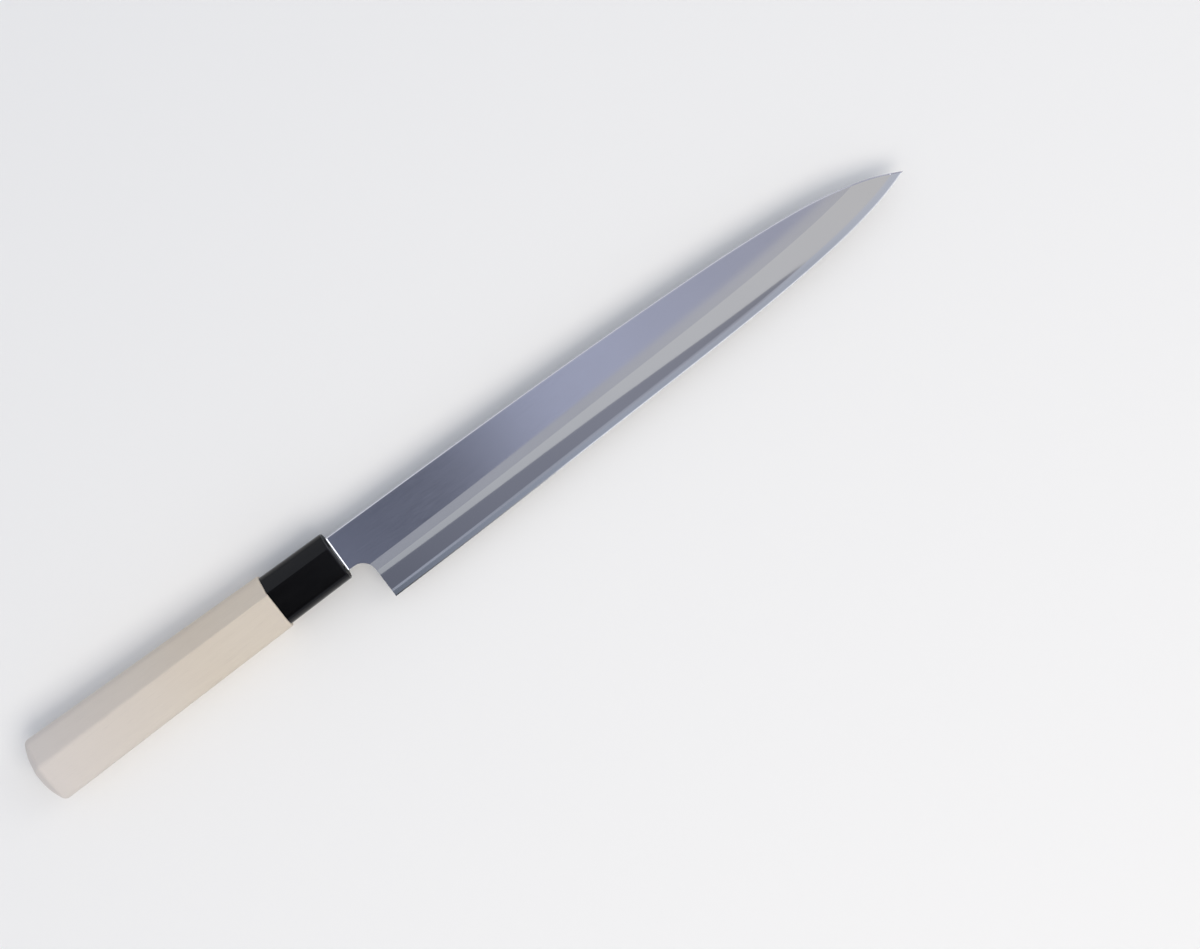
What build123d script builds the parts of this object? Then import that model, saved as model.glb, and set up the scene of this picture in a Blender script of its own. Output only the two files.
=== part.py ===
"""Yanagiba: a long single-bevel slicing knife with a D-section wooden handle for the right hand.

Millimetres. +X runs along the knife to the tip, +Y to the spine, +Z out of the bevelled side.
The origin is on the handle's axis, in the plane of the shoulder where the blade meets the handle.
The blade's hollow back lies in the plane Z = -back_depth.
"""
import os

from build123d import *

# Blade seen from above
edge_length = 240.0
neck_length = 8.2
heel_height = 32.0
spine_height = 7.6
shoulder_height = 14.2
neck_radius = 5.8

# Blade thickness and grind, measured up from the back
back_depth = 1.8
spine_thickness = 3.8
ridge_thickness = 3.5
kireha_thickness = 3.0
core_thickness = 0.95
edge_thickness = 0.06
core_band = 2.9
kireha_width = 11.5
ridge_width = 15.0
thinning_share = 0.48

# Hollow ground into the back
hollow_depth = 0.32
hollow_edge_rim = 1.6
hollow_spine_rim = 2.4
hollow_heel_rim = 4.0

# Tang and shoulder
tang_length = 92.0
tang_height = 7.2
tang_end_height = 4.2
tang_thickness = 3.0
tang_end_thickness = 2.0
shoulder_chamfer = 0.6

# Handle and ferrule
shoulder_gap = 0.7
handle_length = 134.6
ferrule_length = 27.4
ferrule_front_height = 19.6
ferrule_rear_height = 20.3
ferrule_front_depth = 17.6
ferrule_rear_depth = 18.2
ferrule_front_rise = 0.3
ferrule_wall = 4.0
ferrule_rim = 0.4
wood_front_height = 22.1
wood_butt_height = 26.0
wood_front_depth = 19.4
wood_butt_depth = 21.6
wood_rim = 0.7
butt_drop = 0.8
butt_dome = 3.8
butt_round = 2.0
tenon_height = 14.4
tenon_depth = 11.6
tenon_round = 4.0

# Resin round the tang
bedding_margin = 0.9
bedding_overlength = 3.0
seal_margin = 0.5
seal_stand = 0.15
seal_chamfer = 0.1

# One overrun serves every cut
overrun = 5.0

# Outline of the blade: a place along it as a share of its length from shoulder to tip,
# the drop of the spine and the rise of the edge there as shares of the heel's height
outline_shares = [
    (0.147, -0.004, 0.020),
    (0.293, -0.005, 0.057),
    (0.440, 0.003, 0.100),
    (0.587, 0.026, 0.142),
    (0.733, 0.069, 0.197),
    (0.806, 0.110, 0.241),
    (0.880, 0.182, 0.306),
    (0.930, 0.268, 0.373),
    (0.968, 0.362, 0.444),
]
tip_drop_share = 0.476
tip_rise_share = 1 - tip_drop_share

# Section of the handle: the ridge's place from the spine side as a share of the height, the fall
# of the two faces beside it as shares of the depth, and the roundings as shares of the narrower side
ferrule_ridge_share = 0.316
wood_front_ridge_share = 0.362
wood_butt_ridge_share = 0.42
spine_face_fall_share = 0.32
edge_face_fall_share = 0.24
face_round_share = 0.26
belly_round_share = 0.42

# Sections of the butt: shares of the turn round its rim, and shares of the dome's width
rim_shares = (0, 0.33, 0.67, 1)
dome_shares = (0.88, 0.74, 0.58, 0.4, 0.22, 0.1)

blade_length = neck_length + edge_length
heel_y = spine_height - heel_height
neck_y = spine_height - shoulder_height
back_z = -back_depth
front_x = -shoulder_gap
pocket_x = front_x - ferrule_wall
wood_x = front_x - ferrule_length
butt_x = front_x - handle_length
mortise_x = -tang_length - bedding_overlength

# Stations along the blade: place, spine, edge and share of the heel's thickness
stations = [
    (
        blade_length * along,
        spine_height - heel_height * drop,
        heel_y + heel_height * rise,
        1 - thinning_share * along,
    )
    for along, drop, rise in outline_shares
]
tip_y = spine_height - heel_height * tip_drop_share
tip_thin = 1 - thinning_share
far_y = spine_height + overrun

# The grind is the same from the heel back to the shoulder and just past the tip
grind_stations = [(-overrun, spine_height, heel_y, 1.0), (neck_length, spine_height, heel_y, 1.0)]
grind_stations += stations
grind_stations += [(blade_length, tip_y, tip_y, tip_thin), (blade_length + overrun, tip_y, tip_y, tip_thin)]


def layer_section(x, points):
    """A closed straight-sided section across the blade at x, points as (y, height above the back)."""
    with BuildSketch(Plane.YZ.offset(x)) as section:
        with BuildLine():
            Polyline(*[(y, back_z + height) for y, height in points], close=True)
        make_face()
    return section.sketch


def core_section(x, edge_y, thin):
    """The hard layer: from the back up to the weld, with the steep facet at the edge."""
    return layer_section(
        x,
        [
            (edge_y - overrun, -overrun),
            (edge_y - overrun, edge_thickness),
            (edge_y, edge_thickness),
            (edge_y + core_band, core_thickness * thin),
            (far_y, core_thickness * thin),
            (far_y, -overrun),
        ],
    )


def cladding_section(x, edge_y, thin):
    """The soft layer: weld, bevel, the band under the ridge line, and the flat side up to the spine."""
    return layer_section(
        x,
        [
            (edge_y + core_band, core_thickness * thin),
            (edge_y + kireha_width, kireha_thickness * thin),
            (edge_y + ridge_width, ridge_thickness * thin),
            (far_y, spine_thickness * thin),
            (far_y, core_thickness * thin),
        ],
    )


def hollow_section(x, low_y, high_y, depth):
    """A shallow arc over the back between two rims, open downwards."""
    middle = (low_y + high_y) / 2
    with BuildSketch(Plane.YZ.offset(x)) as section:
        with BuildLine():
            ThreePointArc((low_y, back_z), (middle, back_z + depth), (high_y, back_z))
            Polyline((high_y, back_z), (high_y, back_z - overrun), (low_y, back_z - overrun), (low_y, back_z))
        make_face()
    return section.sketch


def tang_size(x):
    """Height and thickness of the tapered tang at x."""
    share = -x / tang_length
    return (
        tang_height + (tang_end_height - tang_height) * share,
        tang_thickness + (tang_end_thickness - tang_thickness) * share,
    )


def tang_section(x, margin):
    """The tang's section at x, with an even margin round it."""
    height, thickness = tang_size(x)
    with BuildSketch(Plane.YZ.offset(x)) as section:
        Rectangle(height + 2 * margin, thickness + 2 * margin)
    return section.sketch


def butt_profile():
    """Places along the handle and shares of its full section, from the butt's rim to its crown."""
    half = wood_butt_height / 2
    radius = (half**2 + butt_dome**2) / (2 * butt_dome)
    corner = half - butt_round
    corner_x = radius - ((radius - butt_round) ** 2 - corner**2) ** 0.5
    whole_turn = Vector(0, 1).get_angle(Vector(corner_x - radius, corner))
    profile = []
    for share in rim_shares:
        turned = Vector(0, butt_round).rotate(Axis.Z, whole_turn * share)
        profile.append((butt_x + corner_x + turned.X, (corner + turned.Y) / half))
    for share in dome_shares:
        across = share * corner * radius / (radius - butt_round)
        profile.append((butt_x + radius - (radius**2 - across**2) ** 0.5, across / half))
    return profile


def handle_section(x, height, depth, middle, ridge_share, inset=0, scale=1):
    """The handle's section: a ridge on the bevelled side between two flat faces, and a round belly."""
    height = scale * height - 2 * inset
    depth = scale * depth - 2 * inset
    narrow = min(height, depth)
    high = middle + height / 2
    low = middle - height / 2
    top = depth / 2
    ridge = (high - ridge_share * height, top)
    upper_corners = [(high, top - spine_face_fall_share * depth), (low, top - edge_face_fall_share * depth)]
    belly_corners = [(high, -top), (low, -top)]
    with BuildSketch(Plane.YZ.offset(x)) as section:
        with BuildLine():
            Polyline(ridge, upper_corners[0], *belly_corners, upper_corners[1], close=True)
        make_face()
        for corners, share in ((upper_corners, face_round_share), (belly_corners, belly_round_share)):
            fillet([section.vertices().sort_by_distance(corner)[0] for corner in corners], radius=share * narrow)
    return section.sketch


# The blade seen from above: spine, curved tip, cutting edge, heel and neck.
# One outline serves both steel layers, so they end flush with each other.
with BuildSketch(Plane.XY.offset(back_z)) as outline:
    with BuildLine():
        Spline((0, spine_height), *[(x, spine_y) for x, spine_y, edge_y, thin in stations], (blade_length, tip_y))
        Spline((neck_length, heel_y), *[(x, edge_y) for x, spine_y, edge_y, thin in stations], (blade_length, tip_y))
        Polyline((neck_length, heel_y), (neck_length, neck_y), (0, neck_y), (0, spine_height))
    make_face()
    inner_corner = outline.vertices().sort_by_distance((neck_length, neck_y, back_z))[0]
    fillet(inner_corner, radius=neck_radius)

# Blade core: the hard steel that carries the edge, with the hollow back
with BuildPart() as core:
    loft([core_section(x, edge_y, thin) for x, spine_y, edge_y, thin in grind_stations])
    extrude(outline.sketch, amount=spine_thickness, mode=Mode.INTERSECT)
    hollow_start = neck_length + hollow_heel_rim
    hollow = []
    for x, spine_y, edge_y, thin in [(hollow_start, spine_height, heel_y, 1.0)] + stations:
        low_y = edge_y + hollow_edge_rim
        high_y = spine_y - hollow_spine_rim
        width_share = (high_y - low_y) / (heel_height - hollow_edge_rim - hollow_spine_rim)
        hollow.append(hollow_section(x, low_y, high_y, hollow_depth * width_share**2))
    loft(hollow, mode=Mode.SUBTRACT)

# Blade cladding: the soft steel body with flat side, ridge line, bevel, neck, shoulder and tang
with BuildPart() as cladding:
    loft([cladding_section(x, edge_y, thin) for x, spine_y, edge_y, thin in grind_stations])
    extrude(outline.sketch, amount=spine_thickness, mode=Mode.INTERSECT)
    top_of_shoulder = cladding.faces().sort_by(Axis.X)[0].edges().sort_by(Axis.Z)[-1]
    chamfer(top_of_shoulder, length=shoulder_chamfer)
    loft([tang_section(-tang_length, 0), tang_section(0, 0)])

# Ferrule: the collar on the handle's front, socketed over the tenon
ferrule_rear = (ferrule_rear_height, ferrule_rear_depth, 0, ferrule_ridge_share)
ferrule_front = (ferrule_front_height, ferrule_front_depth, ferrule_front_rise, ferrule_ridge_share)
with BuildPart() as ferrule:
    loft(
        [
            handle_section(wood_x, *ferrule_rear),
            handle_section(front_x - ferrule_rim, *ferrule_front),
            handle_section(front_x, *ferrule_front, inset=ferrule_rim),
        ],
        ruled=True,
    )
    with BuildSketch(Plane.YZ.offset(wood_x)):
        RectangleRounded(tenon_height, tenon_depth, tenon_round)
    extrude(amount=ferrule_length - ferrule_wall, mode=Mode.SUBTRACT)
    loft(
        [tang_section(pocket_x - overrun, seal_margin), tang_section(front_x + overrun, seal_margin)],
        mode=Mode.SUBTRACT,
    )

# Handle: one length of wood, tapered, with the tenon for the ferrule and the mortise for the tang
wood_butt = (wood_butt_height, wood_butt_depth, -butt_drop, wood_butt_ridge_share)
wood_front = (wood_front_height, wood_front_depth, 0, wood_front_ridge_share)
with BuildPart() as handle:
    loft(
        [
            handle_section(butt_profile()[0][0], *wood_butt),
            handle_section(wood_x - wood_rim, *wood_front),
            handle_section(wood_x, *wood_front, inset=wood_rim),
        ],
        ruled=True,
    )
    loft([handle_section(place, *wood_butt, scale=part) for place, part in butt_profile()])
    with BuildSketch(Plane.YZ.offset(wood_x)):
        RectangleRounded(tenon_height, tenon_depth, tenon_round)
    extrude(amount=ferrule_length - ferrule_wall)
    loft([tang_section(mortise_x, bedding_margin), tang_section(pocket_x, bedding_margin)], mode=Mode.SUBTRACT)

# Tang bedding: the resin that fills the mortise round the tang
with BuildPart() as bedding:
    loft([tang_section(mortise_x, bedding_margin), tang_section(pocket_x, bedding_margin)])
    loft([tang_section(-tang_length, 0), tang_section(0, 0)], mode=Mode.SUBTRACT)

# Mouth seal: the bead of resin round the tang in the ferrule's mouth, a little proud of it
with BuildPart() as seal:
    loft([tang_section(pocket_x, seal_margin), tang_section(front_x + seal_stand, seal_margin)])
    chamfer(seal.faces().sort_by(Axis.X)[-1].edges(), length=seal_chamfer)
    loft([tang_section(-tang_length, 0), tang_section(0, 0)], mode=Mode.SUBTRACT)

pieces = {
    "blade_cladding": cladding,
    "blade_core": core,
    "ferrule": ferrule,
    "handle": handle,
    "tang_bedding": bedding,
    "mouth_seal": seal,
}
os.makedirs("parts", exist_ok=True)
for name, piece in pieces.items():
    piece.part.label = name
    export_step(piece.part, f"parts/{name}.step")
    print(f"{name}: {piece.part.volume:.1f} mm3, valid {piece.part.is_valid}")
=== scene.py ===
"""Yanagiba: a single-bevel slicing knife with a pale wooden handle, dressed for a studio picture.

Metres in the scene, in the same frame as the solids: +X to the tip, +Y to the spine, +Z out of the bevel.
The steel, the collar and the wood are surfaces worked out from the sizes below.
"""
import math

import bpy
import numpy as np
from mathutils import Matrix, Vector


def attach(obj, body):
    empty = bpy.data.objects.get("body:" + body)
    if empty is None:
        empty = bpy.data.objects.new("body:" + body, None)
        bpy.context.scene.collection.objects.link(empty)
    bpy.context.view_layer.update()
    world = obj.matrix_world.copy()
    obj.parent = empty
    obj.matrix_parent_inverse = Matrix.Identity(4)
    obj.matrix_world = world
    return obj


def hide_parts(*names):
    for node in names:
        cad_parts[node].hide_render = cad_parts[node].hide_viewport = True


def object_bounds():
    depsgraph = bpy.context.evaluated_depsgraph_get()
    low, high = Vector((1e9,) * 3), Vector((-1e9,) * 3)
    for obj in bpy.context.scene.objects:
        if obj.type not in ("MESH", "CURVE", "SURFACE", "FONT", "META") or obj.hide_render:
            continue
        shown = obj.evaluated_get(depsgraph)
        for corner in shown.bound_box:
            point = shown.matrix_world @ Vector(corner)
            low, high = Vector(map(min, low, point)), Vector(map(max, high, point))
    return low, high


bl_info = {
    "name": "Yanagiba knife",
    "version": (1, 0, 0),
    "blender": (4, 5, 0),
    "location": "View3D > Sidebar > Knife",
    "description": "Builds a single-bevel slicing knife and the pale stage it is pictured on",
    "category": "Add Mesh",
}

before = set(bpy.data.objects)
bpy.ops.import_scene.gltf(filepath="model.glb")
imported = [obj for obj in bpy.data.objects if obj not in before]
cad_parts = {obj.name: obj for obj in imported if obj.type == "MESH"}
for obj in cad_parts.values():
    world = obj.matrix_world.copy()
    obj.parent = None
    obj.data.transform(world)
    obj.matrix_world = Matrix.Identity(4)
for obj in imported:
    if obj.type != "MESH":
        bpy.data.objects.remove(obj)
SOLIDS_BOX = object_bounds()
MM = 0.001

# Outline of the blade: place along it as a share of its length, drop of the spine and rise of the
# edge as shares of the heel's height
OUTLINE_SHARES = np.array(
    [
        (0.147, -0.004, 0.020),
        (0.293, -0.005, 0.057),
        (0.440, 0.003, 0.100),
        (0.587, 0.026, 0.142),
        (0.733, 0.069, 0.197),
        (0.806, 0.110, 0.241),
        (0.880, 0.182, 0.306),
        (0.930, 0.268, 0.373),
        (0.968, 0.362, 0.444),
    ]
)

# Drop of the tip below the spine's line, as a share of the heel's height
TIP_DROP_SHARE = 0.476

# The grind's planes go on this far past the spine
OVERRUN = 5 * MM

# The creases between the planes of the bevelled side are rounded over these differences in height. The
# ridge line's rounding starts fine and grows along a stretch of the blade.
BEVEL_BLEND = 0.012 * MM
RIDGE_BLEND = 0.01 * MM
RIDGE_BLEND_GROWTH = 0.34 * MM
RIDGE_BLEND_START = 45 * MM
RIDGE_BLEND_STRETCH = 110 * MM

# The hollow comes in over this length from its rim at the heel
HOLLOW_RUN_IN = 9 * MM

# The filed line at the shoulder ends in a wall this wide
LINE_WALL = 0.04 * MM

# Share of the edge's thickness that the last honing takes off
HONING_SHARE = 0.6

# Least thickness of the steel where a layer runs out, and how closely places are told apart
SLIGHT = 0.001 * MM

# How far the faces beside the handle's ridge fall, towards the edge's side and towards the spine's, as
# shares of the handle's depth
LOWER_FALL = 0.24
UPPER_FALL = 0.32

# Roundings at the foot of those faces and on the belly, as shares of the handle's narrower side
FACE_ROUND = 0.26
BELLY_ROUND = 0.42

# The collar's ridge is left sharper than the wood's beside it
COLLAR_EASE_SHARE = 0.8

# Corner radii of the tang, and of the slot and the bead round it
TANG_CORNER = 0.3 * MM
SLOT_CORNER = 0.2 * MM

# Points round each corner of a section, the same on all, so that different sections can be joined
ARC_STEPS = 12


def length(name, description, millimetres):
    """A length property with its default in millimetres."""
    return bpy.props.FloatProperty(
        name=name, description=description, default=millimetres * MM, min=0.0,
        unit="LENGTH", subtype="DISTANCE",
    )


def share(name, description, default):
    """A property between nothing and all of something."""
    return bpy.props.FloatProperty(
        name=name, description=description, default=default, min=0.0, max=1.0, subtype="FACTOR"
    )


def tint(name, description, hex_value):
    """A colour property whose default is an sRGB hex value."""
    return bpy.props.FloatVectorProperty(
        name=name, description=description, default=linear(hex_value)[:3], size=3, min=0.0, max=1.0,
        subtype="COLOR",
    )


def linear(hex_value):
    """An sRGB hex value such as "c8b9a4" as linear red, green, blue and an alpha of one."""
    channels = [int(hex_value[i : i + 2], 16) / 255 for i in (0, 2, 4)]
    return (*[c / 12.92 if c <= 0.04045 else ((c + 0.055) / 1.055) ** 2.4 for c in channels], 1.0)


# Sizes and colours
class BladeSizes(bpy.types.PropertyGroup):
    """Sizes and colours of the blade."""

    edge_length: length("Edge length", "From the heel's corner to the tip", 240.0)
    neck_length: length("Neck length", "From the shoulder to the heel", 8.2)
    heel_height: length("Heel height", "Height of the blade at the heel", 32.0)
    spine_height: length("Spine height", "From the handle's axis up to the spine", 7.6)
    shoulder_height: length("Shoulder height", "Height of the neck at the shoulder", 14.2)
    neck_radius: length("Neck radius", "Radius of the curve from the neck to the heel", 5.8)
    back_depth: length("Back depth", "From the handle's axis down to the back", 1.8)
    spine_thickness: length("Spine thickness", "Thickness of the spine near the shoulder", 3.8)
    ridge_thickness: length("Ridge thickness", "Thickness at the ridge line", 3.5)
    bevel_thickness: length("Bevel thickness", "Thickness at the top of the ground bevel", 3.0)
    core_thickness: length("Core thickness", "Thickness of the hard steel layer", 0.95)
    edge_thickness: length("Edge thickness", "Thickness left at the cutting edge", 0.06)
    core_band: length("Core band", "Width of the hard steel that shows along the edge", 2.9)
    bevel_width: length("Bevel width", "Width of the ground bevel", 11.5)
    ridge_width: length("Ridge width", "From the edge up to the ridge line", 15.0)
    hollow_depth: length("Hollow depth", "Depth of the hollow ground into the back", 0.32)
    hollow_edge_rim: length("Rim at the edge", "Width of the flat rim along the edge", 1.6)
    hollow_spine_rim: length("Rim at the spine", "Width of the flat rim along the spine", 2.4)
    hollow_heel_rim: length("Rim at the heel", "Width of the flat rim at the heel", 4.0)
    shoulder_line: length("Shoulder line", "Width of the filed line at the shoulder", 0.45)
    shoulder_slope: share("Shoulder slope", "How steeply the filed line falls towards the tip", 0.33)
    spine_ease: length("Spine ease", "Width of the strip taken off the spine's corner", 0.45)
    spine_slope: share("Spine slope", "How steeply that strip falls", 0.42)
    bevel_crown: length("Bevel crown", "How far the ground bevel bulges", 0.05)
    honed_band: length("Honed band", "Width of the last, steepest strip of the edge", 0.35)
    weld_strip: length("Weld strip", "Width of the flatter strip just below the weld line", 0.85)
    weld_ease: share("Weld ease", "How much fuller the edge's facet is at the foot of that strip", 0.021)
    thinning: share("Thinning", "Share of the thickness lost from the shoulder to the tip", 0.48)
    tang_length: length("Tang length", "Length of the tang in the handle", 92.0)
    tang_height: length("Tang height", "Height of the tang at the shoulder", 7.2)
    tang_end_height: length("Tang end height", "Height of the tang at its end", 4.2)
    tang_thickness: length("Tang thickness", "Thickness of the tang at the shoulder", 3.0)
    tang_end_thickness: length("Tang end thickness", "Thickness of the tang at its end", 2.0)
    bevel_colour: tint("Bevel colour", "Colour of the ground bevel", "c6c8cc")
    flat_colour: tint("Flat side colour", "Colour of the flat side and the band below it", "bcbec5")
    edge_colour: tint("Edge colour", "Colour of the steel at the edge and in the filed line", "c9cbd0")
    back_colour: tint("Back colour", "Colour of the hollow back", "b4b6bb")
    forged_colour: tint("Forged colour", "Colour of the blade's sides and the tang", "a3a5a9")


class HandleSizes(bpy.types.PropertyGroup):
    """Sizes and colours of the handle, its collar and the bead of resin."""

    shoulder_gap: length("Shoulder gap", "From the collar's face to the blade's shoulder", 0.7)
    handle_length: length("Handle length", "From the collar's face to the butt", 134.6)
    ferrule_length: length("Collar length", "Length of the collar", 27.4)
    ferrule_front_height: length("Collar front height", "Height of the collar at the blade", 19.6)
    ferrule_rear_height: length("Collar rear height", "Height of the collar at the wood", 20.3)
    ferrule_front_depth: length("Collar front depth", "Depth of the collar at the blade", 17.6)
    ferrule_rear_depth: length("Collar rear depth", "Depth of the collar at the wood", 18.2)
    ferrule_front_rise: length("Collar front rise", "How far the collar's front sits towards the spine", 0.3)
    ferrule_wall: length("Collar wall", "Thickness of the collar's front wall", 4.0)
    ferrule_rim: length("Collar rim", "Rounding of the collar's front rim", 0.4)
    wood_front_height: length("Wood front height", "Height of the wood at the collar", 22.1)
    wood_butt_height: length("Wood butt height", "Height of the wood at the butt", 26.0)
    wood_front_depth: length("Wood front depth", "Depth of the wood at the collar", 19.4)
    wood_butt_depth: length("Wood butt depth", "Depth of the wood at the butt", 21.6)
    wood_rim: length("Wood rim", "Rounding of the wood's front rim", 0.7)
    butt_drop: length("Butt drop", "How far the butt sits towards the edge", 0.8)
    butt_dome: length("Butt dome", "Height of the butt's dome", 3.8)
    butt_round: length("Butt rounding", "Rounding of the butt's rim", 2.0)
    tenon_height: length("Tenon height", "Height of the tenon in the collar", 14.4)
    tenon_depth: length("Tenon depth", "Depth of the tenon in the collar", 11.6)
    tenon_round: length("Tenon rounding", "Corner radius of the tenon", 4.0)
    ferrule_ridge: share("Collar ridge", "Place of the collar's ridge across its height", 0.316)
    wood_front_ridge: share("Wood front ridge", "Place of the ridge across the wood's front", 0.362)
    wood_butt_ridge: share("Wood butt ridge", "Place of the ridge across the butt", 0.42)
    ridge_ease: length("Ridge ease", "Radius left on the ridge at the collar", 0.35)
    butt_ridge_ease: length("Butt ridge ease", "Radius left on the ridge at the butt", 2.2)
    seal_margin: length("Seal margin", "Width of the resin round the tang", 0.5)
    seal_stand: length("Seal stand", "How far the resin stands out of the collar", 0.15)
    wood_colour: tint("Wood colour", "Colour of the wood between its grain lines", "d8d0c2")
    grain_colour: tint("Grain colour", "Colour of the grain lines", "d1c8ba")
    sapwood_colour: tint("Sapwood colour", "Colour of the wood at the butt", "d7d0ca")
    collar_colour: tint("Collar colour", "Colour of the collar", "030305")
    streak_colour: tint("Streak colour", "Colour of the faint streaks in the collar", "0c0c0e")
    resin_colour: tint("Resin colour", "Colour of the resin in front of the collar", "77746c")
    resin_shade: tint("Resin shade", "Darker colour of the resin's faint clouds", "5f5b52")


class StageSettings(bpy.types.PropertyGroup):
    """Floor, light and camera."""

    camera_height: length("Camera height", "Height of the camera over the blade", 1000.0)
    view_width: length("View width", "Width of the picture at the blade", 436.0)
    centre_x: bpy.props.FloatProperty(
        name="Centre X", description="Middle of the picture along the knife", default=0.0942, unit="LENGTH"
    )
    centre_y: bpy.props.FloatProperty(
        name="Centre Y", description="Middle of the picture across the knife", default=-0.0322, unit="LENGTH"
    )
    turn: bpy.props.FloatProperty(
        name="Turn", description="How far the knife is turned in the picture", default=math.radians(36.0),
        unit="ROTATION", subtype="ANGLE",
    )
    floor_colour: tint("Floor colour", "Colour of the floor", "f4f4f3")
    sweep_colour: tint("Sweep colour", "Colour that the floor fades into far from the knife", "efeff0")
    fade_start: length("Fade start", "How far from the knife the floor starts to fade", 300.0)
    fade_end: length("Fade end", "How far from the knife the floor has faded", 750.0)
    room_colour: tint("Room colour", "Colour of the soft light from all sides", "e4e9f4")


# Shader nodes
def fill(tree, node, settings):
    """Sets a node's properties and sockets, and links a socket whose value is another node's output."""
    for key, value in settings.items():
        if isinstance(value, bpy.types.NodeSocket):
            tree.links.new(value, node.inputs[key])
        elif isinstance(key, str) and hasattr(node, key):
            setattr(node, key, value)
        else:
            node.inputs[key].default_value = value


def add_node(tree, kind, settings=None):
    """Adds a shader node with its settings and links."""
    node = tree.nodes.new(kind)
    fill(tree, node, settings or {})
    return node


def new_material(name):
    """An empty node material with its output, and the Principled shader to fill in."""
    material = bpy.data.materials.new(name)
    material.use_nodes = True
    tree = material.node_tree
    tree.nodes.clear()
    shader = add_node(tree, "ShaderNodeBsdfPrincipled")
    add_node(tree, "ShaderNodeOutputMaterial", {"Surface": shader.outputs["BSDF"]})
    return material, tree, shader


# Curves
def spread(low, high, count):
    """Evenly spaced values from low to high, both included."""
    return np.linspace(low, high, count)


def mix_along(first, second, t):
    """Values between first and second at shares t."""
    return first + (second - first) * t


def smooth_curve(knots, values, places):
    """A natural cubic spline through the knots: its second derivative is zero at both ends, and the
    bends between are solved so that the slope is continuous."""
    gaps = np.diff(knots)
    slopes = np.diff(values) / gaps
    count = len(knots)
    system = np.eye(count)
    inner = np.arange(1, count - 1)
    system[inner, inner - 1] = gaps[:-1]
    system[inner, inner] = 2 * (gaps[:-1] + gaps[1:])
    system[inner, inner + 1] = gaps[1:]
    target = np.zeros(count)
    target[inner] = 6 * np.diff(slopes)
    bends = np.linalg.solve(system, target)
    at = np.clip(np.searchsorted(knots, places, side="right") - 1, 0, count - 2)
    left = places - knots[at]
    right = knots[at + 1] - places
    gap = gaps[at]
    return (
        (bends[at] * right**3 + bends[at + 1] * left**3) / (6 * gap)
        + (values[at] / gap - bends[at] * gap / 6) * right
        + (values[at + 1] / gap - bends[at + 1] * gap / 6) * left
    )


def soft_minimum(first, second, blend):
    """The lower of two heights, with the crease between them rounded where they differ by less than blend."""
    near = np.clip(blend - np.abs(first - second), 0, None) / blend
    return np.minimum(first, second) - near * near * blend / 4


# Meshes
def make_mesh(name, vertices, faces, face_slots=None):
    """A Blender mesh from arrays of points and of faces with the same number of sides."""
    mesh = bpy.data.meshes.new(name)
    sides = faces.shape[1]
    mesh.vertices.add(len(vertices))
    mesh.vertices.foreach_set("co", np.ascontiguousarray(vertices, np.float32).ravel())
    mesh.loops.add(faces.size)
    mesh.loops.foreach_set("vertex_index", np.ascontiguousarray(faces, np.int32).ravel())
    mesh.polygons.add(len(faces))
    mesh.polygons.foreach_set("loop_start", np.arange(0, faces.size, sides, dtype=np.int32))
    if face_slots is not None:
        mesh.polygons.foreach_set("material_index", np.ascontiguousarray(face_slots, np.int32))
    mesh.update(calc_edges=True)
    mesh.validate()
    return mesh


def join_meshes(name, meshes):
    """One mesh from several of triangles, each kept as its own closed shell."""
    vertices, faces, slots = [], [], []
    base = 0
    for mesh in meshes:
        co = np.zeros(len(mesh.vertices) * 3, np.float32)
        mesh.vertices.foreach_get("co", co)
        index = np.zeros(len(mesh.loops), np.int32)
        mesh.loops.foreach_get("vertex_index", index)
        slot = np.zeros(len(mesh.polygons), np.int32)
        mesh.polygons.foreach_get("material_index", slot)
        vertices.append(co.reshape(-1, 3))
        faces.append(index.reshape(-1, 3) + base)
        slots.append(slot)
        base += len(mesh.vertices)
        bpy.data.meshes.remove(mesh)
    return make_mesh(name, np.concatenate(vertices), np.concatenate(faces), np.concatenate(slots))


def slab_mesh(name, points, quads, top, bottom, top_slots, bottom_slot, side_slot):
    """A closed mesh from a flat grid: the grid at its top heights, again at its bottom heights, and a
    wall along every border edge of the grid. Points that coincide are merged and folded faces dropped."""
    steps_in_a_metre = 1e7
    keys = np.round(points * steps_in_a_metre).astype(np.int64)
    _, first, merged = np.unique(keys, axis=0, return_index=True, return_inverse=True)
    merged = merged.reshape(-1)
    points, top, bottom = points[first], top[first], bottom[first]
    corners = merged[quads]
    triangles = np.concatenate([corners[:, [0, 1, 2]], corners[:, [0, 2, 3]]])
    slots = np.concatenate([top_slots, top_slots])
    kept = (
        (triangles[:, 0] != triangles[:, 1])
        & (triangles[:, 1] != triangles[:, 2])
        & (triangles[:, 2] != triangles[:, 0])
    )
    triangles, slots = triangles[kept], slots[kept]
    edges = np.concatenate([triangles[:, [0, 1]], triangles[:, [1, 2]], triangles[:, [2, 0]]])
    code = edges[:, 0] * len(points) + edges[:, 1]
    back = edges[:, 1] * len(points) + edges[:, 0]
    border = edges[~np.isin(code, back)]
    count = len(points)
    walls = np.concatenate(
        [
            np.stack([border[:, 1], border[:, 0], border[:, 0] + count], -1),
            np.stack([border[:, 1], border[:, 0] + count, border[:, 1] + count], -1),
        ]
    )
    faces = np.concatenate([triangles, triangles[:, ::-1] + count, walls])
    face_slots = np.concatenate([slots, np.full(len(triangles), bottom_slot), np.full(len(walls), side_slot)])
    vertices = np.concatenate([np.column_stack([points, top]), np.column_stack([points, bottom])])
    return make_mesh(name, vertices, faces, face_slots)


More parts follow.
